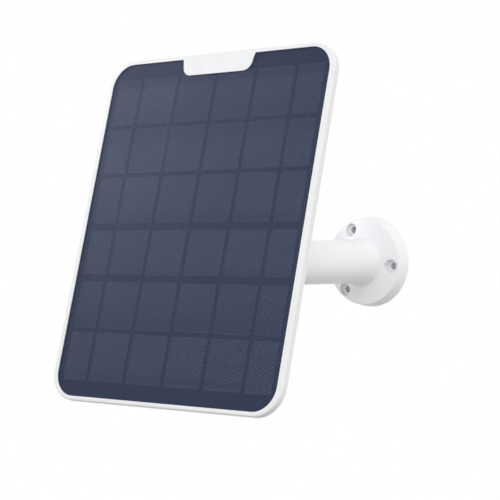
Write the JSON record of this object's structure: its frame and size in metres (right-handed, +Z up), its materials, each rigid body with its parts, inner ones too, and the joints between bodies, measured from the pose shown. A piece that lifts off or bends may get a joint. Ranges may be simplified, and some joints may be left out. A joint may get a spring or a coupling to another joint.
{
  "type": "solar charging panel with wall arm",
  "caption": "Flat framed solar panel for an outdoor camera, tilted on a ball joint at the end of a straight tubular wall arm with a round screw flange.",
  "frame": {"origin": "centre of the flange's back face, on the arm's axis", "axes": "+Y along the arm's axis into the wall, +Z up, +X to the right for someone who faces the wall; the panel stands off towards -Y"},
  "size_m": [0.1704, 0.2062, 0.2013],
  "materials": {
    "arm_white": "satin moulded, UV-stable white",
    "bezel_white": "satin moulded white",
    "cover_white": "fine spark-eroded texture, white",
    "grip_white": "satin moulded white, ribbed grip",
    "bearing_acetal": "smooth natural acetal",
    "black_rubber": "matte silicone",
    "plated_steel": "bright zinc plate",
    "brass": "turned",
    "textured_sheet": "fine diagonal embossed polymer sheet",
    "clear_film": "laminated clear film",
    "solar_cell": "dark blue monocrystalline silicon",
    "coated_copper": "dark coated",
    "laminate_board": "dark navy solder-masked board",
    "circuit_board": "green solder mask",
    "black_epoxy": "moulded epoxy",
    "capacitor_can": "drawn can",
    "lead_insulation": "silicone wire insulation",
    "vent_grey": "porous membrane disc"
  },
  "bodies": {
    "arm": {"wall_arm": "arm_white", "preload_ring": "black_rubber"},
    "slip_ring": {"slip_ring": "bearing_acetal"},
    "clamp_collar": {"clamp_collar": "grip_white"},
    "ball_cup": {"ball_cup": "bearing_acetal"},
    "ball_stud": {"ball_stud": "plated_steel"},
    "clamp_washer": {"clamp_washer": "plated_steel"},
    "lock_wheel": {"lock_wheel": "grip_white"},
    "panel": {"stud_washer": "black_rubber", "threaded_insert": "brass", "mount_plate": "plated_steel", "plate_screws": "plated_steel", "front_bezel": "bezel_white", "front_sheet": "textured_sheet", "front_film": "clear_film", "cell_ribbons": "coated_copper", "rear_film": "clear_film", "backing_board": "laminate_board", "laminate_gasket": "black_rubber", "back_cover": "cover_white", "vent_plug": "vent_grey", "cover_screws": "plated_steel", "charge_board": "circuit_board", "board_screws": "plated_steel", "power_inductor": "black_epoxy", "board_capacitors": "capacitor_can", "blocking_diode": "black_epoxy", "control_chip": "black_epoxy", "output_terminal": "black_epoxy", "panel_leads": "lead_insulation", "cable_gland": "cover_white", "gland_seal": "black_rubber", "gland_nut": "cover_white", "gland_locknut": "cover_white", "cell_row_1": "solar_cell", "cell_row_2": "solar_cell", "cell_row_3": "solar_cell", "cell_row_4": "solar_cell", "cell_row_5": "solar_cell", "cell_row_6": "solar_cell"}
  },
  "joints": [
    {"name": "collar_travel", "type": "slide", "parent": "arm", "child": "slip_ring", "axis": [0, -1, 0], "range_m": [0, 0.001]},
    {"name": "collar_turn", "type": "hinge", "parent": "slip_ring", "child": "clamp_collar", "pos_m": [0, -0.133, 0], "axis": [0, -1, 0], "range_deg": [0, 180]},
    {"name": "ball_roll", "type": "hinge", "parent": "arm", "child": "ball_cup", "pos_m": [0, -0.133, 0], "axis": [0, -1, 0], "continuous": true},
    {"name": "panel_tilt", "type": "hinge", "parent": "ball_cup", "child": "ball_stud", "pos_m": [0, -0.133, 0], "axis": [1, 0, 0], "range_deg": [-19.8, 50.1]},
    {"name": "panel_spin", "type": "hinge", "parent": "ball_stud", "child": "panel", "pos_m": [0, -0.133, 0], "axis": [0, -0.9653, 0.261], "range_deg": [-180, 180]},
    {"name": "washer_travel", "type": "slide", "parent": "ball_stud", "child": "clamp_washer", "axis": [0, 0.9653, -0.261], "range_m": [0, 0.000635]},
    {"name": "lock_wheel_turn", "type": "hinge", "parent": "clamp_washer", "child": "lock_wheel", "pos_m": [0, -0.133, 0], "axis": [0, 0.9653, -0.261], "range_deg": [0, 180]}
  ],
  "couplings": [
    {"joint": "collar_turn", "follows": "collar_travel", "rad_per_m": 3141.6},
    {"joint": "lock_wheel_turn", "follows": "washer_travel", "rad_per_m": 4947.4}
  ]
}
